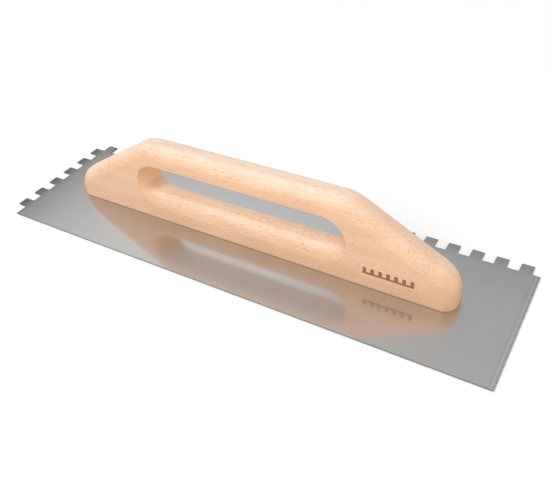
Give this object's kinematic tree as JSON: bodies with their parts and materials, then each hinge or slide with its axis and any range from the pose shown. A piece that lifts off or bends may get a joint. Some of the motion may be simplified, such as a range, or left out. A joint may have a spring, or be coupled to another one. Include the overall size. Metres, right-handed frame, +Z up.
{
  "type": "notched trowel",
  "caption": "Long square-notched spreading trowel with a thin steel blade, toothed on one long edge and one end, and a closed wooden handle with a hand slot.",
  "frame": {"origin": "middle of the bounding box, on the plane of the blade's sole", "axes": "+X along the blade away from the toothed end, +Y across the blade from the plain front edge to the toothed back edge, +Z up through the handle"},
  "size_m": [0.4672, 0.1324, 0.0761],
  "materials": {
    "blade_steel": "thin rolled spring steel, ground satin, square notches punched through",
    "handle_wood": "pale beech, sanded and thinly varnished, satin",
    "screw_steel": "zinc plated wood screws"
  },
  "bodies": {
    "root": {"blade": "blade_steel", "handle": "handle_wood", "screw_1": "screw_steel", "screw_2": "screw_steel", "screw_3": "screw_steel", "screw_4": "screw_steel", "screw_5": "screw_steel", "screw_6": "screw_steel"}
  },
  "joints": []
}
